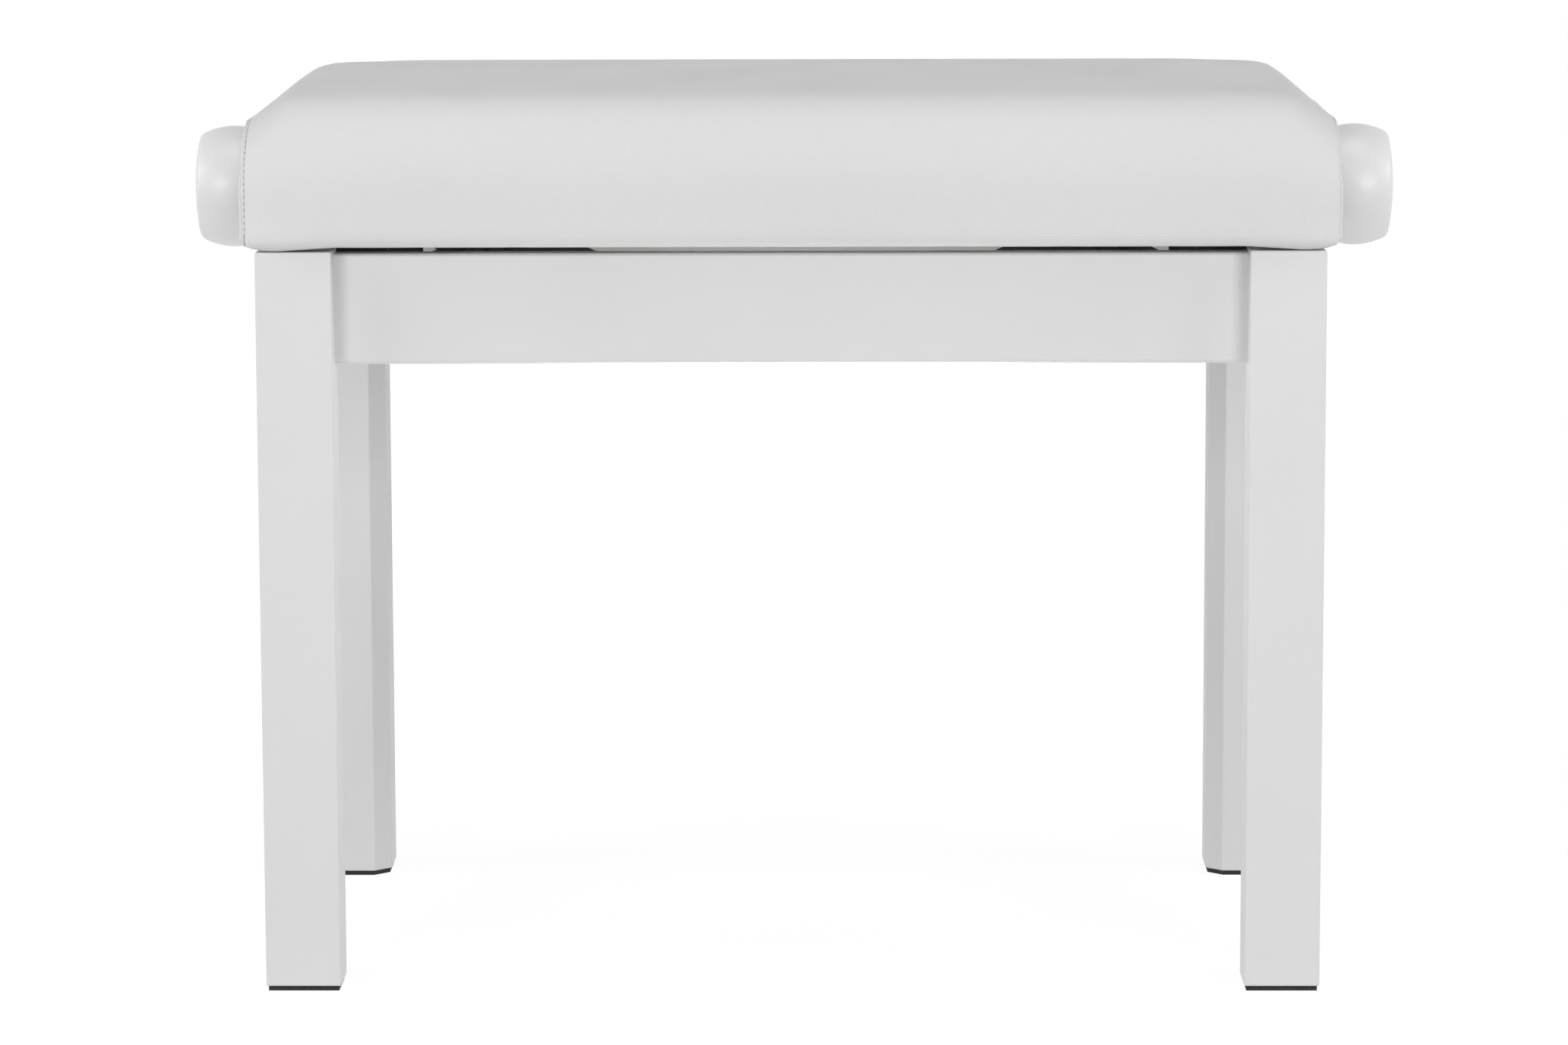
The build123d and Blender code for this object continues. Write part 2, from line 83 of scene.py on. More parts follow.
# %% [markdown]
# Materials are networks of nodes. A node's input either follows another node or holds a plain
# value, so one helper takes both. It names each value by its socket, which says what the number
# is for.

# %% Helpers that make nodes
def feed(tree, socket, value):
    """Link an input to another node's socket, or set it to a plain value."""
    if isinstance(value, bpy.types.NodeSocket):
        tree.links.new(value, socket)
    else:
        socket.default_value = value


def add_node(tree, kind, *values, operation=None, **named):
    """Add a shader node and feed its inputs, in order or by name with underscores for spaces."""
    node = tree.nodes.new("ShaderNode" + kind)
    if operation:
        node.operation = operation
    for socket, value in zip(node.inputs, values):
        feed(tree, socket, value)
    for label, value in named.items():
        feed(tree, node.inputs[label.replace("_", " ")], value)
    return node


def new_group(name, inputs, outputs):
    """An empty shader group with its inner sockets; an input's kind follows from its value."""
    group = bpy.data.node_groups.new(name, "ShaderNodeTree")
    for label, value in inputs.items():
        kind = "NodeSocketVector" if isinstance(value, tuple) else "NodeSocketFloat"
        socket = group.interface.new_socket(label, in_out="INPUT", socket_type=kind)
        socket.default_value = value
    for label in outputs:
        group.interface.new_socket(label, in_out="OUTPUT", socket_type="NodeSocketFloat")
    inside, out = group.nodes.new("NodeGroupInput"), group.nodes.new("NodeGroupOutput")
    return group, inside.outputs, out.inputs


print("node helpers ready")

# %% [markdown]
# Several finishes share the same small effects, so each effect is one node group.
# Uneven is a soft cloudy value that keeps any surface from being perfectly even.
# Pebble is the fine cell pattern that is embossed into leatherette.
# Grain is the long fibre of wood, drawn out along one axis of the piece.

# %% Node groups for shared effects
def uneven_group():
    """A cloudy value between a low and a high one."""
    group, inside, out = new_group("Uneven", {"Scale": 8.0, "Low": 0.0, "High": 1.0}, ["Value"])
    place = add_node(group, "TexCoord").outputs["Object"]
    noise = add_node(group, "TexNoise", Vector=place, Scale=inside["Scale"], Detail=4.0)
    spread = add_node(group, "MapRange", Value=noise.outputs["Fac"], From_Min=0.3, From_Max=0.7,
                      To_Min=inside["Low"], To_Max=inside["High"])
    group.links.new(spread.outputs["Result"], out["Value"])
    return group


def pebble_group():
    """The height of small domed cells with slightly bent borders."""
    group, inside, out = new_group("Pebble", {"Scale": 700.0}, ["Height"])
    place = add_node(group, "TexCoord").outputs["Object"]
    bend = add_node(group, "TexNoise", Vector=place, Scale=260.0, Detail=2.0)
    bend_size = (1.6 * MM,) * 3
    shifted = add_node(group, "VectorMath", bend.outputs["Color"], bend_size, place,
                       operation="MULTIPLY_ADD")
    cells = add_node(group, "TexVoronoi", Vector=shifted.outputs["Vector"], Scale=inside["Scale"])
    cells.feature = "DISTANCE_TO_EDGE"
    dome = add_node(group, "MapRange", Value=cells.outputs["Distance"], From_Max=0.28)
    dome.interpolation_type = "SMOOTHSTEP"
    group.links.new(dome.outputs["Result"], out["Height"])
    return group


def grain_group():
    """Coarse and fine fibres: their mixed tone and the height of the fine ones."""
    group, inside, out = new_group("Grain", {"Stretch": (1.0, 1.0, 1.0), "Scale": 60.0},
                                   ["Fibre", "Height"])
    place = add_node(group, "TexCoord").outputs["Object"]
    drawn = add_node(group, "VectorMath", place, inside["Stretch"], operation="MULTIPLY")
    finer, fibre_share = 6.0, 0.35
    fine = add_node(group, "Math", inside["Scale"], finer, operation="MULTIPLY")
    rings = add_node(group, "TexNoise", Vector=drawn.outputs["Vector"], Scale=inside["Scale"],
                     Detail=5.0, Distortion=0.6)
    fibres = add_node(group, "TexNoise", Vector=drawn.outputs["Vector"],
                      Scale=fine.outputs["Value"], Detail=3.0)
    both = add_node(group, "Math", fibres.outputs["Fac"], fibre_share, rings.outputs["Fac"],
                    operation="MULTIPLY_ADD")
    group.links.new(both.outputs["Value"], out["Fibre"])
    group.links.new(fibres.outputs["Fac"], out["Height"])
    return group


uneven, pebble, grain = uneven_group(), pebble_group(), grain_group()
print("node groups:", [group.name for group in (uneven, pebble, grain)])

# %% [markdown]
# Every material starts the same way: a Principled shader, a pattern that varies the colour
# between two close tones, a group that varies the roughness, and a bump. A recipe function wires
# these once. The constant sockets, such as metallic or coat, are set on the shader itself so that
# an export keeps them.

# %% A recipe for materials
SHADER = "Principled BSDF"
GLOSS_SCALE = 3.7


def place_group(tree, group, **values):
    """Add a node group to a material, set its inputs and return its outputs."""
    node = tree.nodes.new("ShaderNodeGroup")
    node.node_tree = group
    for label, value in values.items():
        node.inputs[label].default_value = value
    return node.outputs


def colour_mix(tree, factor, first, second):
    """A colour that runs from the first to the second with a factor."""
    mix = tree.nodes.new("ShaderNodeMix")
    mix.data_type = "RGBA"
    for label, value in (("Factor", factor), ("A", first), ("B", second)):
        feed(tree, mix.inputs[label], value)
    return mix.outputs["Result"]


def bump(tree, height, strength, distance):
    """Press a height pattern into the shader's normal."""
    node = add_node(tree, "Bump", Strength=strength, Distance=distance, Height=height)
    tree.links.new(node.outputs["Normal"], tree.nodes[SHADER].inputs["Normal"])


def finish(name, dark, light, rough, tone_scale=9.0, pattern=None, relief=None, **sockets):
    """A material with two tones in a cloudy or given pattern, a relief and fixed sockets."""
    material = bpy.data.materials.new(name)
    material.use_nodes = True
    tree = material.node_tree
    shader = tree.nodes[SHADER].inputs
    for label, value in sockets.items():
        shader[label.replace("_", " ")].default_value = value
    tone = pattern(tree) if pattern else place_group(tree, uneven, Scale=tone_scale)["Value"]
    tree.links.new(colour_mix(tree, tone, (*dark, 1.0), (*light, 1.0)), shader["Base Color"])
    gloss = place_group(tree, uneven, Scale=tone_scale * GLOSS_SCALE, Low=rough[0], High=rough[1])
    tree.links.new(gloss["Value"], shader["Roughness"])
    if relief:
        scale, strength, distance = relief
        bump(tree, place_group(tree, uneven, Scale=scale)["Value"], strength, distance)
    print("finish", name)
    return material


def grey(level):
    """A neutral tone."""
    return (level,) * 3


# %% [markdown]
# The legs and rails wear a sprayed white lacquer: satin, nearly even, with a very slight orange-
# peel relief. The knobs have the same lacquer painted lighter, a painted highlight for the extra
# light on them. The steel of the lift is painted black, bolts and bars are zinc plated, the bushes
# are brass, and the feet are dense black felt.
# A relief is given as its scale, its strength and its depth.

# %% Lacquer, steel, brass, felt, foam and thread
white_lacquer = finish(
    "white_lacquer", grey(0.645), grey(0.665), (0.34, 0.42),
    relief=(420.0, 0.06, 0.4 * MM), Coat_Weight=0.1, Coat_Roughness=0.25)
# painted highlight: the knobs' lacquer is lighter than the legs' to stand in for the light on them
knob_lacquer_painted_light = finish(
    "knob_lacquer_painted_light", grey(0.77), grey(0.79), (0.34, 0.42),
    relief=(420.0, 0.05, 0.4 * MM), Coat_Weight=0.1, Coat_Roughness=0.25)
black_steel = finish(
    "black_steel", (0.010, 0.010, 0.011), (0.020, 0.020, 0.021), (0.36, 0.5),
    tone_scale=40.0, relief=(900.0, 0.12, 0.3 * MM))
zinc_steel = finish(
    "zinc_steel", (0.52, 0.52, 0.53), (0.66, 0.66, 0.66), (0.26, 0.42),
    tone_scale=60.0, relief=(1500.0, 0.1, 0.2 * MM), Metallic=1.0)
bush_brass = finish(
    "bush_brass", (0.60, 0.44, 0.20), (0.70, 0.53, 0.26), (0.25, 0.4),
    tone_scale=60.0, relief=(1500.0, 0.1, 0.2 * MM), Metallic=1.0)
foot_felt = finish(
    "foot_felt", grey(0.008), grey(0.022), (0.8, 0.95),
    tone_scale=500.0, relief=(1200.0, 0.5, 0.6 * MM))
seat_foam = finish(
    "seat_foam", (0.72, 0.66, 0.48), (0.80, 0.74, 0.56), (0.85, 0.95),
    tone_scale=300.0, relief=(900.0, 0.4, 0.8 * MM))
stitch_thread = finish(
    "stitch_thread", grey(0.70), grey(0.78), (0.5, 0.65),
    tone_scale=700.0, relief=(2500.0, 0.3, 0.2 * MM))

# %% [markdown]
# The cover is white leatherette: a soft satin skin with small embossed pebbles. The pebbles break
# up the reflections, which is what gives such a skin its soft sheen.

# %% Leatherette
PEBBLE_SCALE, PEBBLE_STRENGTH, PEBBLE_DEPTH = 620.0, 0.22, 0.25 * MM

leatherette = finish(
    "leatherette", grey(0.64), grey(0.66), (0.40, 0.50), tone_scale=6.0, Specular_IOR_Level=0.15)
pebbles = place_group(leatherette.node_tree, pebble, Scale=PEBBLE_SCALE)
bump(leatherette.node_tree, pebbles["Height"], PEBBLE_STRENGTH, PEBBLE_DEPTH)

# %% [markdown]
# Under the seat the wood wears only a thin grey wash: planed softwood for the slats and plywood for
# the board. Bare yellow wood would throw a warm light into the slot, and the photograph shows none
# there. Wood shows long fibres, so the pattern is squeezed across the piece and drawn out along it.

# %% Washed wood
WOOD_STRENGTH, WOOD_DEPTH = 0.25, 0.4 * MM
SOFTWOOD = (0.36, 0.34, 0.31), (0.50, 0.48, 0.45)
PLYWOOD = (0.34, 0.325, 0.30), (0.48, 0.465, 0.44)


def washed_wood(name, stretch, tones, scale):
    """A wood finish with its fibres drawn out by a stretch along each axis."""
    def fibres(tree):
        fibre = place_group(tree, grain, Stretch=stretch, Scale=scale)
        bump(tree, fibre["Height"], WOOD_STRENGTH, WOOD_DEPTH)
        steep = add_node(tree, "MapRange", Value=fibre["Fibre"], From_Min=0.45, From_Max=0.85)
        return steep.outputs["Result"]

    return finish(name, *tones, (0.55, 0.7), tone_scale=20.0, pattern=fibres)


wood_along_x = washed_wood("softwood_along_x", (0.08, 1.0, 1.0), SOFTWOOD, scale=70.0)
wood_along_y = washed_wood("softwood_along_y", (1.0, 0.08, 1.0), SOFTWOOD, scale=70.0)
plywood = washed_wood("plywood", (0.06, 1.0, 1.0), PLYWOOD, scale=40.0)

# %% [markdown]
# Each CAD node that keeps its own shape gets its finish by name. The first prefix that fits counts,
# so the longer ones come first, and what is left is zinc plated.

# %% Finishes on the CAD nodes
FINISH_BY_PREFIX = [
    ("leg_bolt", zinc_steel), ("leg_", white_lacquer), ("rail_", white_lacquer),
    ("corner_block", white_lacquer), ("foot_pad", foot_felt),
    ("knob_inserts", bush_brass), ("knob_", knob_lacquer_painted_light), ("spindle_bushes", bush_brass),
    ("seat_slat_front", wood_along_x), ("seat_slat_back", wood_along_x),
    ("seat_slat", wood_along_y), ("seat_board", plywood),
    ("lower_track", black_steel), ("upper_track", black_steel), ("pivot_brackets", black_steel),
    ("lift_arm", black_steel), ("brace_arm", black_steel), ("nut_bar", black_steel),
    ("scissor_rivets", black_steel), ("", zinc_steel)]

for name, node in nodes.items():
    material = next(m for prefix, m in FINISH_BY_PREFIX if name.startswith(prefix))
    node.data.materials.clear()
    node.data.materials.append(material)
print("finished", len(nodes), "CAD nodes")

# %% [markdown]
# The cushion is one panel of leatherette that runs over the front, top and back, with a panel sewn
# on at each end. It could be carved by hand, but a padded form looks right when air pressure makes
# it, so it starts a little too small, gets an even skin by voxel remesh, and is blown up as cloth
# with its seams and hem pinned. The starting block is drawn as an outline of lines and spun arcs,
# extruded from end to end.

# %% The outline of the padded block
seat_low, seat_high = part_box("seat_cover")
slat_low, slat_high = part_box("seat_slat_left")
HALF_X, HALF_Y = seat_high.x, seat_high.y
BOTTOM, TOP = seat_low.z, seat_high.z
PUFF = Vector((1.0, 0.6, 1.8)) * MM
ROLL, HEM, CROWN = 36 * MM, 5 * MM, 1750 * MM
HEM_STEPS, ROLL_STEPS, CROWN_STEPS = 4, 12, 40
MERGE = 0.01 * MM
ABOUT_X, ABOUT_Y = (1, 0, 0), (0, 1, 0)


def arc(bm, vert, centre, angle, steps, axis=ABOUT_X):
    """Spin one vertex about an axis and return the last one."""
    made = bmesh.ops.spin(bm, geom=[vert], cent=centre, axis=axis, angle=angle, steps=steps,
                          use_duplicate=False)
    return next(item for item in made["geom_last"] if isinstance(item, bmesh.types.BMVert))


def line_to(bm, vert, point):
    """Draw an edge from a vertex to a point and return the new vertex."""
    made = bmesh.ops.extrude_vert_indiv(bm, verts=[vert])["verts"][0]
    made.co = point
    return made


def seat_outline(bm, x, half_y, top):
    """The upright outline at one end: hem, side, roll, crown, roll, side, hem."""
    lean = math.asin((half_y - ROLL) / (CROWN - ROLL))
    side_top = top - CROWN + (CROWN - ROLL) * math.cos(lean)
    turn = math.pi / 2 - lean
    vert = bm.verts.new((x, half_y - HEM, BOTTOM))
    vert = arc(bm, vert, (x, half_y - HEM, BOTTOM + HEM), math.pi / 2, HEM_STEPS)
    vert = line_to(bm, vert, (x, half_y, side_top))
    vert = arc(bm, vert, (x, half_y - ROLL, side_top), turn, ROLL_STEPS)
    vert = arc(bm, vert, (x, 0, top - CROWN), 2 * lean, CROWN_STEPS)
    vert = arc(bm, vert, (x, -half_y + ROLL, side_top), turn, ROLL_STEPS)
    vert = line_to(bm, vert, (x, -half_y, BOTTOM + HEM))
    arc(bm, vert, (x, -half_y + HEM, BOTTOM + HEM), math.pi / 2, HEM_STEPS)
    bmesh.ops.remove_doubles(bm, verts=bm.verts[:], dist=MERGE)
    ends = [vert for vert in bm.verts if len(vert.link_edges) == 1]
    bmesh.ops.contextual_create(bm, geom=ends)
    return bmesh.ops.contextual_create(bm, geom=bm.edges[:])["faces"][0]


print("cover:", [round(v / MM) for v in seat_high - seat_low], "mm")

# %% [markdown]
# Towards each end the top falls away in a soft shoulder and the corners close in a little. Both
# follow a fading curve, so the stations, in millimetres from the end, stand closer together there.

# %% Extrude the block from end to end
SHOULDER, SHOULDER_REACH, SHOULDER_POWER = 11.5 * MM, 23 * MM, 1
SLOPE, SLOPE_REACH, SLOPE_POWER = 2.6 * MM, 50 * MM, 2
SHRINK_ALLOWANCE = 0.8 * MM
CORNER_CLOSE, CORNER_FADE = 3.5 * MM, 5 * MM
STATIONS = [0, 2, 4, 7, 10, 13, 16, 19, 23, 30, 40, 50, 90, 140, 200]


def fade(distance, reach, power):
    """One at no distance, nothing beyond the reach."""
    return max(0.0, 1 - distance / reach) ** power


def section_size(distance):
    """Half depth and height of the block at a distance from its end."""
    half_y = HALF_Y - PUFF.y - CORNER_CLOSE * math.exp(-distance / CORNER_FADE)
    drop = SHOULDER * fade(distance, SHOULDER_REACH, SHOULDER_POWER)
    drop += SLOPE * fade(distance, SLOPE_REACH, SLOPE_POWER)
    return half_y, TOP - BOTTOM - PUFF.z + SHRINK_ALLOWANCE - drop


def padded_block():
    """The outline extruded from station to station, a closed bmesh."""
    bm = bmesh.new()
    half_x = HALF_X - PUFF.x
    distances = [d * MM for d in STATIONS]
    places = [(d - half_x, d) for d in distances]
    places += [(half_x - d, d) for d in reversed(distances)]
    half_y, height = section_size(0)
    cap = seat_outline(bm, places[0][0], half_y, BOTTOM + height)
    ground = Matrix.Translation((0, 0, -BOTTOM))
    for (x_last, d_last), (x, d) in zip(places, places[1:]):
        made = bmesh.ops.extrude_face_region(bm, geom=[cap])["geom"]
        cap = next(item for item in made if isinstance(item, bmesh.types.BMFace))
        (last_y, last_h), (new_y, new_h) = section_size(d_last), section_size(d)
        growth = (1, new_y / last_y, new_h / last_h)
        bmesh.ops.translate(bm, vec=(x - x_last, 0, 0), verts=cap.verts)
        bmesh.ops.scale(bm, vec=growth, space=ground, verts=cap.verts)
    bmesh.ops.recalc_face_normals(bm, faces=bm.faces[:])
    open_edges = sum(len(edge.link_faces) != 2 for edge in bm.edges)
    print("padded block:", len(bm.faces), "faces,", open_edges, "open edges")
    return bm


def evaluated(piece):
    """A mesh with the piece's modifiers applied."""
    graph = bpy.context.evaluated_depsgraph_get()
    return bpy.data.meshes.new_from_object(piece.evaluated_get(graph))


def even_skin(bm, voxel):
    """Voxel remesh a closed bmesh into even quads."""
    data = bpy.data.meshes.new("block")
    bm.to_mesh(data)
    bm.free()
    holder = bpy.data.objects.new("block", data)
    scene.collection.objects.link(holder)
    remesh = holder.modifiers.new("even", "REMESH")
    remesh.mode = "VOXEL"
    remesh.voxel_size = voxel
    skin = evaluated(holder)
    bpy.data.objects.remove(holder)
    print("skin:", len(skin.vertices), "points")
    return skin


SKIN_VOXEL = 5 * MM
skin = even_skin(padded_block(), SKIN_VOXEL)

# %% [markdown]
# The pins hold what the real cover holds: the hem stapled under the slats and the two end seams.
# Pressure then swells the panels between them. A soft cap keeps any point from moving too far. The
# tight cover of the photograph is calmer than free cloth, so the capped move is mixed with an even
# offset and evened out between neighbours.

# %% Swell the skin as cloth
SEAM_HOLD, HEM_HOLD, HEM_GRIP = 9 * MM, 2.2 * HEM, 2
CLOTH_SHARE, SETTLE_STEPS = 0.4, 10
CLOTH_QUALITY, CLOTH_PRESSURE, CLOTH_FRAMES = 4, 4.0, 20


def hold(point):
    """How firmly a point is held: fully at the hem and at the end seams."""
    half_y, height = section_size(0)
    seam = fade(abs(HALF_X - PUFF.x - abs(point.x)), SEAM_HOLD, 1)
    rim = min(abs(half_y - abs(point.y)), abs(BOTTOM + height - point.z))
    hem = fade(point.z - BOTTOM, HEM_HOLD, 1)
    return max(min(1.0, hem * HEM_GRIP), seam * fade(rim, SEAM_HOLD, 1))


def swell_room(normal):
    """How far the skin may swell where it faces a given way."""
    return Vector(n * room for n, room in zip(normal, PUFF)).length


def even_moves(mesh):
    """An even move along each point's normal, less where the skin is held."""
    return [swell_room(vert.normal) * (1 - hold(vert.co)) for vert in mesh.vertices]


def cloth_moves(mesh):
    """How far air pressure moves each point along its normal when the mesh is cloth."""
    holder = bpy.data.objects.new("swell", mesh)
    scene.collection.objects.link(holder)
    pins = holder.vertex_groups.new(name="pins")
    for vert in mesh.vertices:
        pins.add([vert.index], hold(vert.co), "REPLACE")
    cloth = holder.modifiers.new("swell", "CLOTH")
    cloth.settings.quality = CLOTH_QUALITY
    cloth.settings.vertex_group_mass = "pins"
    cloth.settings.use_pressure = True
    cloth.settings.uniform_pressure_force = CLOTH_PRESSURE
    cloth.settings.effector_weights.gravity = 0.0
    cloth.collision_settings.use_collision = False
    cloth.collision_settings.use_self_collision = False
    scene.frame_start, scene.frame_end = 1, CLOTH_FRAMES
    for step in range(1, CLOTH_FRAMES + 1):
        scene.frame_set(step)
    blown = evaluated(holder)
    moves = [(new.co - old.co).dot(old.normal)
             for new, old in zip(blown.vertices, mesh.vertices)]
    bpy.data.objects.remove(holder)
    scene.frame_set(1)
    print("pressure moved the skin by up to", round(max(moves) / MM, 1), "mm")
    return moves


def settled(mesh, amounts):
    """Even out a value over neighbouring points, as a stretched skin does."""
    ends = [tuple(edge.vertices) for edge in mesh.edges]
    counts = [0] * len(amounts)
    for a, b in ends:
        counts[a] += 1
        counts[b] += 1
    for _ in range(SETTLE_STEPS):
        sums = [0.0] * len(amounts)
        for a, b in ends:
            sums[a] += amounts[b]
            sums[b] += amounts[a]
        amounts = [(own + total / count) / 2 for own, total, count in zip(amounts, sums, counts)]
    return amounts


def tight_moves(mesh):
    """The cloth's moves, softly capped, mixed with the even moves and evened out."""
    rooms = [swell_room(vert.normal) for vert in mesh.vertices]
    capped = [room * math.tanh(max(0.0, move) / room)
              for room, move in zip(rooms, cloth_moves(mesh))]
    mixed = [e + CLOTH_SHARE * (c - e) for c, e in zip(capped, even_moves(mesh))]
    return settled(mesh, mixed)


swells = tight_moves(skin)
normals = [vert.normal.copy() for vert in skin.vertices]
for vert, normal, amount in zip(skin.vertices, normals, swells):
    vert.co += normal * amount
print("the skin swells by up to", round(max(swells) / MM, 1), "mm")

# %% [markdown]
# The end panels are drawn in between their corners and their top edges are pulled level. The
# cover is open below: its hem goes under the slats and stops at their inner faces. So the skin is
# drawn in, cut open under the seat and round the spindle's bushes, and given the thickness of
# leatherette.

# %% Draw in the ends, open the underside
END_DRAW_IN, DRAW_DEPTH = 3 * MM, 40 * MM
LEAN_IN, LEAN_FADE = 0.5 * MM, 1.6
LEVEL_EDGE, BACK_DROP = 6.0 * MM, 4.0 * MM
HEM_TURN, HEM_ZONE, HEM_PULL = 3 * MM, 12 * MM, 2
CORNER_TUCK, TUCK_ZONE, TUCK_POWER = 6 * MM, 7 * MM, 1.5
FOLD_DROP, FOLD_REACH, FOLD_FULL = 2.0 * MM, 50 * MM, 1.6
SMOOTHING = 0.5
FACING_DOWN, FACING_OUT = 0.9, 0.8
BUSH_HOLE = 11 * MM
HIDE = 1.4 * MM


def draw_in(point):
    """Pull one point of the skin in at the ends."""
    from_end = HALF_X - abs(point.x)
    bow = 1 - (point.y / HALF_Y) ** 2
    up = (point.z - BOTTOM) / (TOP - BOTTOM)
    lean = LEAN_IN * max(0.0, 1 - LEAN_FADE * up)
    lean += CORNER_TUCK * (1 - bow) * fade(point.z - BOTTOM + FOLD_DROP, TUCK_ZONE, TUCK_POWER)
    inward = (END_DRAW_IN * bow + lean) * fade(from_end, DRAW_DEPTH, 1)
    point.x -= math.copysign(inward, point.x)
    back = min(1.0, max(0.0, point.y / HALF_Y)) ** 2
    level = (LEVEL_EDGE * bow + BACK_DROP * back) * up
    point.z -= level * fade(from_end, SHOULDER_REACH, SHOULDER_POWER)


def straighten(point):
    """Keep the front and back upright down to a tight turn at the hem."""
    above = min(1.0, max(0.0, (point.z - BOTTOM) / HEM_TURN))
    low = max(0.0, 1 - (point.z - BOTTOM) / HEM_ZONE)
    face = section_size(max(0.0, HALF_X - PUFF.x - abs(point.x)))[0] + PUFF.y
    gap = face - abs(point.y)
    if low and gap < HEM_ZONE:
        point.y += math.copysign(gap * above * min(1.0, HEM_PULL * low), point.y)


def fold_corner(point):
    """Let the hem hang a little at the corners, where the folded cover is thickest."""
    near_end = min(1.0, FOLD_FULL * fade(HALF_X - abs(point.x), FOLD_REACH, 1))
    near_face = min(1.0, FOLD_FULL * fade(HALF_Y - abs(point.y), FOLD_REACH, 1))
    near_hem = fade(point.z - BOTTOM, FOLD_REACH / 2, 1)
    point.z -= FOLD_DROP * near_end * near_face * near_hem


def cut_hole(bm, side):
    """Open a round hole for the spindle's bush in one end panel."""
    axis = (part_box("spindle")[0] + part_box("spindle")[1]) / 2
    near = [face for face in bm.faces if side * face.normal.x > FACING_OUT
            and (face.calc_center_median() - axis).yz.length < BUSH_HOLE]
    rim = {vert for face in near for vert in face.verts}
    bmesh.ops.delete(bm, geom=near, context="FACES")
    for vert in rim:
        if vert.is_valid and vert.is_boundary:
            spoke = (vert.co - axis).yz.normalized() * BUSH_HOLE
            vert.co.yz = axis.yz + spoke


def open_cover(mesh):
    """The skin drawn in and cut open, as a bmesh."""
    bm = bmesh.new()
    bm.from_mesh(mesh)
    bmesh.ops.smooth_vert(bm, verts=bm.verts[:], factor=SMOOTHING,
                          use_axis_x=True, use_axis_y=True, use_axis_z=True)
    for vert in bm.verts:
        straighten(vert.co)
        fold_corner(vert.co)
        draw_in(vert.co)
    inner_x, inner_y = -slat_high.x, slat_high.y
    lower = [(face, face.calc_center_median()) for face in bm.faces
             if -face.normal.z > FACING_DOWN]
    under = [face for face, middle in lower
             if abs(middle.x) < inner_x and abs(middle.y) < inner_y]
    bmesh.ops.delete(bm, geom=under, context="FACES")
    for side in (-1, 1):
        cut_hole(bm, side)
    bmesh.ops.recalc_face_normals(bm, faces=bm.faces[:])
    return bm


cover_bm = open_cover(skin)
cover_surface = BVHTree.FromBMesh(cover_bm)
cushion = add_piece("seat_cushion_cover", cover_bm, leatherette, "seat")
thickness = cushion.modifiers.new("leatherette thickness", "SOLIDIFY")
thickness.thickness = HIDE
thickness.offset = -1.0
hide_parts("seat_cover")

# %% [markdown]
# Foam and wadding stay hidden under the cover, but they are real pieces, so each keeps a copy of
# its CAD solid with a foam finish. The tight cover squeezes both a little, and the wadding ends
# above the hem.

# %% Foam pad and wadding
SOFT_MERGE = 0.02 * MM
FOAM_SQUEEZE, WADDING_SQUEEZE = (0.972, 0.96, 0.86), (0.992, 0.992, 1.0)
WADDING_LIFT = 7 * MM


def softened(node, name, squeeze, lowest):
    """A merged copy of a soft CAD node, squeezed and pushed up to a lowest height."""
    bm = bmesh.new()
    bm.from_mesh(nodes[node].data)
    bmesh.ops.remove_doubles(bm, verts=bm.verts[:], dist=SOFT_MERGE)
    foot = Matrix.Translation((0, 0, -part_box(node)[0].z))
    bmesh.ops.scale(bm, vec=squeeze, space=foot, verts=bm.verts[:])
    for vert in bm.verts:
        vert.co.z = max(vert.co.z, lowest)
    piece = add_piece(name, bm, seat_foam, "seat", smooth=False)
    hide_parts(node)


softened("seat_foam", "foam_pad", FOAM_SQUEEZE, BOTTOM)
softened("seat_wadding", "side_wadding", WADDING_SQUEEZE, BOTTOM + WADDING_LIFT)

# %% [markdown]
# The seam of each end panel runs up the front corner, over the top and down the back. It shows as a
# thin raised edge with a row of stitches beside it. Both follow the cover's real surface: a path is
# drawn in the plane of the end and each point is dropped onto the nearest point of the skin.

# %% The path of a seam
STITCH_PITCH = 3.3 * MM
SEAM_CENTRE, SEAM_FOOT = 0.3, 0.9 * HEM


def seam_path(side, inset, step, lower=0.0):
    """Points and normals of the skin along a seam, set in on the long panel or lower on the end."""
    bm = bmesh.new()
    half_y, height = section_size(0)
    seat_outline(bm, 0, half_y + PUFF.y - lower, BOTTOM + height + PUFF.z - lower)
    centre = BOTTOM + SEAM_CENTRE * height
    loop = sorted(bm.verts, key=lambda v: math.atan2(v.co.y, v.co.z - centre))
    points = [vert.co.copy() for vert in loop if vert.co.z > BOTTOM + SEAM_FOOT]
    bm.free()
    x = side * (HALF_X - inset)
    path, spare = [], 0.0
    for start, end in zip(points, points[1:]):
        length = (end - start).length
        while spare < length:
            at = start.lerp(end, spare / length)
            path.append(Vector((x, at.y, at.z)))
            spare += step
        spare -= length
    return [cover_surface.find_nearest(point)[:2] for point in path]


for side in (-1, 1):
    print("seam", side, "has room for", len(seam_path(side, 0.0, STITCH_PITCH)), "stitches")

# %% [markdown]
# The raised edge is a thin bead swept along the path as a curve and turned into a mesh. The
# stitches are short rounded threads, each laid along the path and sunk a little into the skin. At
# the left end they are on the long panel. The photograph shows none at the right, so there they
# are on the end panel.

# %% Bead and stitches
BEAD_RADIUS, BEAD_INSET, BEAD_STEP, BEAD_SUNK = 0.9 * MM, 0.9 * MM, 2 * MM, 0.35 * MM
BEAD_ROUNDNESS = 2
STITCH_SIZE = Vector((2.3, 0.55, 0.45)) * MM
STITCH_INSET, STITCH_OUTSIDE = 4.2 * MM, -2 * MM
STITCH_SIDES, STITCH_RINGS = 8, 5


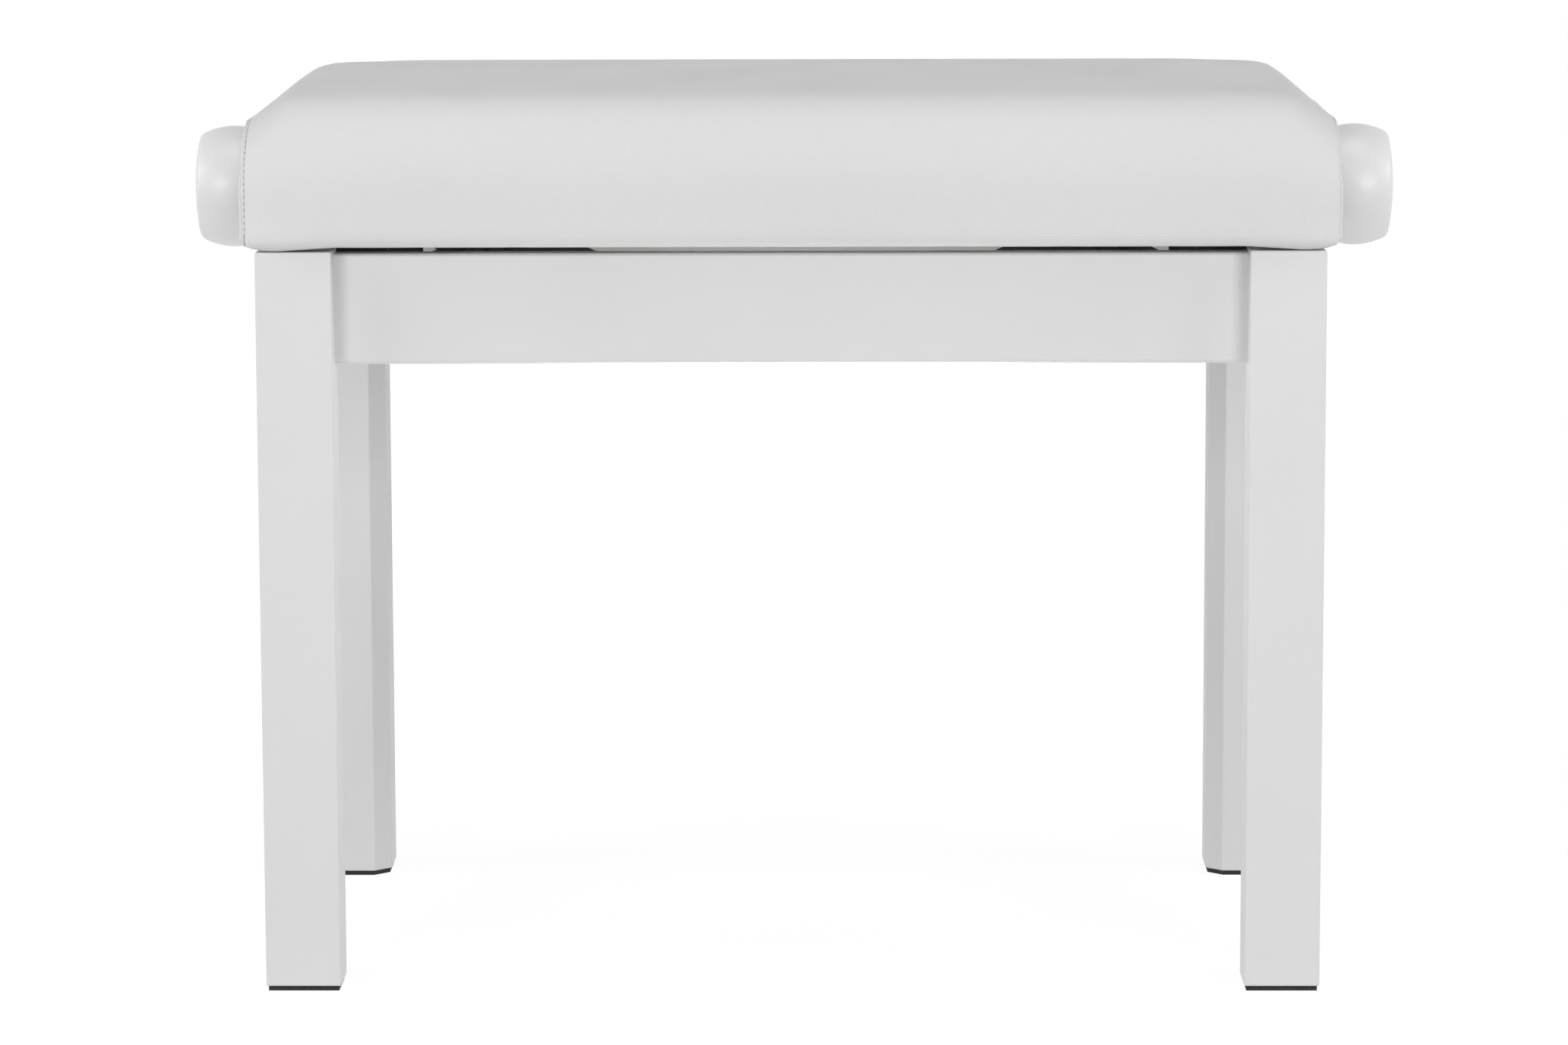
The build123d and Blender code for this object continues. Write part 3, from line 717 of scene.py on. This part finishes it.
def bead_mesh(points):
    """A round bead along a row of points."""
    curve = bpy.data.curves.new("bead", "CURVE")
    curve.dimensions = "3D"
    curve.bevel_depth = BEAD_RADIUS
    curve.bevel_resolution = BEAD_ROUNDNESS
    curve.use_fill_caps = True
    spline = curve.splines.new("POLY")
    spline.points.add(len(points) - 1)
    for place, point in zip(spline.points, points):
        place.co = (*point, 1.0)
    holder = bpy.data.objects.new("bead", curve)
    scene.collection.objects.link(holder)
    mesh = evaluated(holder)
    bpy.data.objects.remove(holder)
    return mesh


def stitch_row(path):
    """One rounded thread at each inner point of a path."""
    bm = bmesh.new()
    for (before, _), (point, normal), (after, _) in zip(path, path[1:], path[2:]):
        along = (after - before).normalized()
        across = normal.cross(along).normalized()
        turn = Matrix((along, across, normal)).transposed().to_4x4()
        place = Matrix.Translation(point) @ turn @ Matrix.Diagonal((*(STITCH_SIZE / 2), 1.0))
        bmesh.ops.create_uvsphere(bm, u_segments=STITCH_SIDES, v_segments=STITCH_RINGS,
                                  radius=1.0, matrix=place)
    return bm


for side, name in ((-1, "left"), (1, "right")):
    seam = [point - normal * BEAD_SUNK for point, normal in seam_path(side, BEAD_INSET, BEAD_STEP)]
    bead = add_piece(f"seam_bead_{name}", bead_mesh(seam), leatherette, "seat")
    row = stitch_row(seam_path(side, STITCH_INSET, STITCH_PITCH) if side < 0
                     else seam_path(side, STITCH_OUTSIDE, STITCH_PITCH, STITCH_INSET))
    stitches = add_piece(f"seam_stitches_{name}", row, stitch_thread, "seat")

# %% [markdown]
# The thread pulls the skin into a fine groove. The groove is too narrow for the mesh, so it is
# drawn in the material of the left end: a line at a fixed distance from the bowed edge, pressed in
# by a bump and painted darker as the shade that falls in it.

# %% The sewn groove and its painted shade
# the groove's tone is painted shade, the shade that falls inside the crease
GROOVE_INSET, GROOVE_WIDTH, GROOVE_SHADE_TONE = 3.9 * MM, 0.7 * MM, grey(0.30)


def groove_group():
    """One along a line at an inset from the bowed left edge, nothing beyond its width."""
    group, inside, out = new_group(
        "Groove", dict.fromkeys(("Middle", "Bow", "Inset", "Width"), 0.0), ["Line"])
    place = add_node(group, "TexCoord").outputs["Object"]
    split = add_node(group, "SeparateXYZ", place).outputs

    def calculate(operation, *values):
        return add_node(group, "Math", *values, operation=operation).outputs["Value"]

    square = calculate("MULTIPLY", split["Y"], split["Y"])
    edge = calculate("MULTIPLY_ADD", square, inside["Bow"], inside["Middle"])
    inset = calculate("ADD", edge, split["X"])
    away = calculate("ABSOLUTE", calculate("SUBTRACT", inset, inside["Inset"]))
    line = add_node(group, "MapRange", Value=away, From_Max=inside["Width"],
                    To_Min=1.0, To_Max=0.0)
    line.interpolation_type = "SMOOTHSTEP"
    group.links.new(line.outputs["Result"], out["Line"])
    return group


def sew(material):
    """Press the groove into a material's relief and paint its shade into the colour."""
    tree = material.node_tree
    groove = place_group(tree, groove_group(), Middle=HALF_X - END_DRAW_IN,
                         Bow=END_DRAW_IN / HALF_Y ** 2, Inset=GROOVE_INSET, Width=GROOVE_WIDTH)
    line = groove["Line"]
    colour = tree.nodes[SHADER].inputs["Base Color"]
    height = tree.nodes["Bump"].inputs["Height"]
    # painted shade: the groove's line darkens the leatherette where shade falls in it
    painted_shade = colour_mix(tree, line, colour.links[0].from_socket, (*GROOVE_SHADE_TONE, 1.0))
    pressed = add_node(tree, "Math", height.links[0].from_socket, line, operation="SUBTRACT")
    tree.links.new(painted_shade, colour)
    tree.links.new(pressed.outputs["Value"], height)
    print("groove drawn", round(GROOVE_INSET / MM, 1), "mm from the seam")


sew(leatherette)

# %% [markdown]
# The knobs are turned on a lathe: a barrel with a soft rim and a slightly domed face. A spun
# profile is exactly what a lathe does, so the outline is made of arcs and spun once round the
# spindle's line.

# %% Turned knobs
KNOB_STEPS, DOME_STEPS, BARREL_STEPS = 128, 10, 16
KNOB_DOME, KNOB_FACE = 2.8 * MM, 27.9 * MM
KNOB_BELLY, KNOB_NECK = 17.5 * MM, 27.0 * MM
KNOB_BORE, BORE_DEPTH = 9.2 * MM, 26.2 * MM
KNOB_RIM, RIM_STEPS, RIM_ANGLE = 1.8 * MM, 5, math.radians(40)


def circle_through(first, middle, last):
    """The centre of the circle through three points of a plane."""
    a, b = middle - first, last - first
    turn = 2 * (a.x * b.y - a.y * b.x)
    return first + Vector((b.y * a.length_squared - a.y * b.length_squared,
                           a.x * b.length_squared - b.x * a.length_squared)) / turn


def knob_outline(bm, inner, outer, radius, height):
    """Half the knob's outline, as joined edges: domed face, barrel, flat back and blind bore."""
    side = math.copysign(1, outer)
    dome_radius = (KNOB_FACE ** 2 + KNOB_DOME ** 2) / (2 * KNOB_DOME)
    dome_turn = math.asin(KNOB_FACE / dome_radius)
    dome_centre = (outer - side * dome_radius, 0, height)
    vert = bm.verts.new((outer, 0, height))
    vert = arc(bm, vert, dome_centre, -side * dome_turn, DOME_STEPS, ABOUT_Y)
    first = Vector((outer - side * KNOB_DOME, KNOB_FACE))
    last = Vector((inner, KNOB_NECK))
    centre = circle_through(first, Vector((outer - side * KNOB_BELLY, radius)), last)
    turn = (first - centre).angle(last - centre)
    barrel_centre = (centre.x, 0, height + centre.y)
    vert = arc(bm, vert, barrel_centre, -side * turn, BARREL_STEPS, ABOUT_Y)
    vert = line_to(bm, vert, (inner, 0, height + KNOB_BORE))
    vert = line_to(bm, vert, (inner + side * BORE_DEPTH, 0, height + KNOB_BORE))
    line_to(bm, vert, (inner + side * BORE_DEPTH, 0, height))


def turned_knob(node):
    """A turned knob in place of a plain CAD one."""
    low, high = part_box(node)
    height, radius = (low.z + high.z) / 2, (high.z - low.z) / 2
    inner, outer = sorted((low.x, high.x), key=abs)
    bm = bmesh.new()
    knob_outline(bm, inner, outer, radius, height)
    axis = Vector((0, 0, height))
    bmesh.ops.spin(bm, geom=bm.verts[:] + bm.edges[:], cent=axis, axis=ABOUT_X,
                   angle=2 * math.pi, steps=KNOB_STEPS, use_merge=True)
    bmesh.ops.remove_doubles(bm, verts=bm.verts[:], dist=MERGE)
    bmesh.ops.recalc_face_normals(bm, faces=bm.faces[:])
    rims = [edge for edge in bm.edges
            if edge.is_manifold and edge.calc_face_angle() > RIM_ANGLE
            and (edge.verts[0].co - axis).yz.length > 2 * KNOB_BORE]
    bmesh.ops.bevel(bm, geom=rims, offset=KNOB_RIM, offset_type="OFFSET", segments=RIM_STEPS,
                    profile=0.5, affect="EDGES", material=-1)
    knob = add_piece(node + "_turned", bm, knob_lacquer_painted_light, "spindle")
    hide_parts(node)


turned_knob("knob_left")
turned_knob("knob_right")

# %% [markdown]
# Turning a knob lifts the seat because the spindle carries two threads of opposite hand. A thread
# is a small ridge that is spun round the spindle while it moves along it. There are two starts,
# half a turn apart.

# %% Threads of the spindle
rod_low, rod_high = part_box("spindle")
nut_low, nut_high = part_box("nut_bar_right")
ROD_HEIGHT = (rod_low.z + rod_high.z) / 2
ROD_SIDES = 40
THREAD_LEAD, THREAD_STEPS = 8 * MM, 20
THREAD_LENGTH, THREAD_BEFORE_NUT = 132 * MM, 24 * MM
THREAD_FROM = (nut_low.x + nut_high.x) / 2 - THREAD_BEFORE_NUT
THREAD_DEPTH = 1 * MM
ROOT = (rod_high.z - rod_low.z) / 2 - THREAD_DEPTH
# the ridge's corners, in millimetres along the spindle and out from its root
RIDGE = [(-1.7, -0.2), (-0.6, 1.0), (0.6, 1.0), (1.7, -0.2)]


def add_thread(bm, side, phase):
    """One helical ridge on one side of the spindle."""
    turns = THREAD_LENGTH / THREAD_LEAD
    steps = round(turns * THREAD_STEPS)
    made = [bm.verts.new((side * (THREAD_FROM + along * MM), 0, ROD_HEIGHT + ROOT + out * MM))
            for along, out in RIDGE]
    edges = [bm.edges.new(pair) for pair in zip(made, made[1:] + made[:1])]
    axis = (0, 0, ROD_HEIGHT)
    bmesh.ops.rotate(bm, cent=axis, matrix=Matrix.Rotation(phase, 3, "X"), verts=made)
    bmesh.ops.spin(bm, geom=made + edges, cent=axis, axis=ABOUT_X, angle=2 * math.pi * turns,
                   steps=steps, dvec=(side * THREAD_LENGTH / steps, 0, 0))
    ends = [edge for edge in bm.edges if edge.is_boundary]
    bmesh.ops.holes_fill(bm, edges=ends, sides=len(RIDGE))


spindle_bm = bmesh.new()
along_x = Matrix.Translation((0, 0, ROD_HEIGHT)) @ Matrix.Rotation(math.pi / 2, 4, "Y")
bmesh.ops.create_cone(spindle_bm, cap_ends=True, segments=ROD_SIDES, radius1=ROOT, radius2=ROOT,
                      depth=rod_high.x - rod_low.x, matrix=along_x)
for side in (-1, 1):
    for phase in (0, math.pi):
        add_thread(spindle_bm, side, phase)
bmesh.ops.recalc_face_normals(spindle_bm, faces=spindle_bm.faces[:])
threaded = add_piece("spindle_threaded", spindle_bm, zinc_steel, "spindle", smooth=False)
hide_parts("spindle")

# %% [markdown]
# Under the seat the hem is held to the slats by a row of wire staples. Each is a small flat bar,
# sunk into the hem.

# %% Staples
STAPLE = Vector((10, 1.2, 0.8)) * MM
STAPLE_PITCH, STAPLE_SUNK = 42 * MM, 0.25 * MM
LONG_ROW_ENDS, SHORT_ROW_ENDS = 30 * MM, 50 * MM
front_low, front_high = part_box("seat_slat_front")
slat_mid_x = -(slat_low.x + slat_high.x) / 2
slat_mid_y = -(front_low.y + front_high.y) / 2


def staple_row(bm, length, x, y, turn):
    """A row of staples about a middle, along X unless it is turned."""
    middle = Matrix.Translation((x, y, BOTTOM + STAPLE_SUNK)) @ Matrix.Rotation(turn, 4, "Z")
    count = int(length / STAPLE_PITCH)
    for index in range(count + 1):
        at = (index / count - 0.5) * length
        place = middle @ Matrix.Translation((at, 0, 0)) @ Matrix.Diagonal((*STAPLE, 1.0))
        bmesh.ops.create_cube(bm, size=1.0, matrix=place)


staples_bm = bmesh.new()
for side in (-1, 1):
    staple_row(staples_bm, 2 * slat_mid_x - LONG_ROW_ENDS, 0, side * slat_mid_y, 0)
    staple_row(staples_bm, 2 * slat_mid_y - SHORT_ROW_ENDS, side * slat_mid_x, 0, math.pi / 2)
staples = add_piece("hem_staples", staples_bm, zinc_steel, "seat", smooth=False)

# %% [markdown]
# The photograph has a plain white ground. A wide floor gives that, white to the camera but still
# dim enough to other rays, so it holds a faint shadow and doesn't flood the object with light.

# %% Floor and world
WHITE = (1, 1, 1, 1)
FLOOR_HALF, FLOOR_TONE, FLOOR_WHITE_SHARE = 40.0, grey(0.72), 0.82
AMBIENT = 0.10


def white_ground(tree, output, white_kind, lit, share):
    """Show camera, glossy and transmission rays a share of plain white in place of a lit shader."""
    path = add_node(tree, "LightPath").outputs
    seen = add_node(tree, "Math", path["Is Camera Ray"], path["Is Glossy Ray"],
                    operation="MAXIMUM")
    any_seen = add_node(tree, "Math", seen.outputs["Value"], path["Is Transmission Ray"],
                        operation="MAXIMUM")
    part = add_node(tree, "Math", any_seen.outputs["Value"], share, operation="MULTIPLY")
    white = add_node(tree, white_kind, Color=WHITE)
    mix = add_node(tree, "MixShader", part.outputs["Value"], lit, white.outputs[0])
    tree.links.new(mix.outputs["Shader"], tree.nodes[output].inputs["Surface"])
    return white


floor_bm = bmesh.new()
bmesh.ops.create_grid(floor_bm, x_segments=1, y_segments=1, size=FLOOR_HALF)
floor_mesh = bpy.data.meshes.new("floor")
floor_bm.to_mesh(floor_mesh)
floor_bm.free()
floor = bpy.data.objects.new("floor", floor_mesh)
scene.collection.objects.link(floor)

floor_material = bpy.data.materials.new("pale_floor")
floor_material.use_nodes = True
floor_tree = floor_material.node_tree
floor_shader = floor_tree.nodes[SHADER]
floor_shader.inputs["Base Color"].default_value = (*FLOOR_TONE, 1)
floor_shader.inputs["Roughness"].default_value = 0.9
floor_shader.inputs["Specular IOR Level"].default_value = 0.1
white = white_ground(floor_tree, "Material Output", "Emission", floor_shader.outputs["BSDF"],
                     FLOOR_WHITE_SHARE)
place = add_node(floor_tree, "TexCoord").outputs["Object"]
reach = add_node(floor_tree, "VectorMath", place, operation="LENGTH")
rise = add_node(floor_tree, "MapRange", Value=reach.outputs["Value"],
                From_Min=0.5, From_Max=4.0, To_Min=1.13, To_Max=1.2)
floor_tree.links.new(rise.outputs["Result"], white.inputs["Strength"])
floor_mesh.materials.append(floor_material)

world = bpy.data.worlds.new("studio")
scene.world = world
world.use_nodes = True
ambient = world.node_tree.nodes["Background"]
ambient.inputs["Color"].default_value = WHITE
ambient.inputs["Strength"].default_value = AMBIENT
white_ground(world.node_tree, "World Output", "Background", ambient.outputs["Background"], 1.0)
print("floor of", 2 * FLOOR_HALF, "m, ambient light", AMBIENT)

# %% [markdown]
# The shading tells where the light was. The fronts are bright and the rolled edge of the seat is
# brighter still, while the flat top is darker. The legs at the back are nearly as bright as those
# in front, so the two front lamps are low. The ends of the knobs are bright too, so there is a
# lamp at each side. The slot under the seat shows a light back rail, so a white card on the floor
# sends light up into the frame.

# %% Soft boxes
LAMP_DISTANCE = 4.2
CARD_DISTANCE, CARD_SPREAD = 0.28, math.radians(100)
AIM = Vector((0, 0, 0.3))
SOFT_BOXES = [
    # name, azimuth and elevation in degrees, level, size in metres
    ("front left", -24, 9, 0.27, 1.4),
    ("front right", 24, 9, 0.29, 1.4),
    ("left", -75, 20, 0.38, 2.0),
    ("right", 75, 20, 0.36, 2.0),
    ("overhead", 0, 80, 0.28, 2.6)]


def soft_box(name, azimuth, elevation, level, size, distance=LAMP_DISTANCE):
    """A square lamp aimed at the object; level is what a facing white surface would send back."""
    data = bpy.data.lights.new(name, "AREA")
    data.shape = "SQUARE"
    data.size = size
    data.energy = level * math.pi ** 2 * distance ** 2
    lamp = bpy.data.objects.new(name, data)
    scene.collection.objects.link(lamp)
    turn, lift = math.radians(azimuth), math.radians(elevation)
    away = Vector((math.sin(turn) * math.cos(lift), -math.cos(turn) * math.cos(lift),
                   math.sin(lift)))
    lamp.location = AIM + distance * away
    lamp.rotation_euler = (-away).to_track_quat("-Z", "Y").to_euler()
    print(name, "lamp:", round(data.energy, 1), "W")
    return lamp


for box in SOFT_BOXES:
    soft_box(*box)
card = soft_box("card below", azimuth=0, elevation=-89, level=0.85, size=0.25,
                distance=CARD_DISTANCE)
card.data.spread = CARD_SPREAD
card.visible_camera = False

# %% [markdown]
# The camera was fitted to the outlines of the legs: a long lens, nearly three metres away, a little
# above the seat and turned by less than a degree.

# %% Camera
FRAME_WIDTH_PX, FOCAL_PX = 2100, 7098
SENSOR_MM = 36.0
CAMERA_PLACE = Vector((0.0326, -2.856, 0.617))
PITCH, YAW, TILT = math.radians(7.87), math.radians(-0.77), math.radians(-0.17)
camera_data = bpy.data.cameras.new("camera")
camera_data.sensor_width = SENSOR_MM
camera_data.lens = FOCAL_PX / FRAME_WIDTH_PX * SENSOR_MM
camera = bpy.data.objects.new("camera", camera_data)
scene.collection.objects.link(camera)
forward = Vector((math.sin(YAW) * math.cos(PITCH), math.cos(YAW) * math.cos(PITCH),
                  -math.sin(PITCH)))
camera.location = CAMERA_PLACE
camera.rotation_euler = (forward.to_track_quat("-Z", "Y").to_matrix()
                         @ Matrix.Rotation(TILT, 3, "Z")).to_euler()
scene.camera = camera
scene.view_settings.view_transform = "Standard"
print("lens", round(camera_data.lens, 1), "mm")
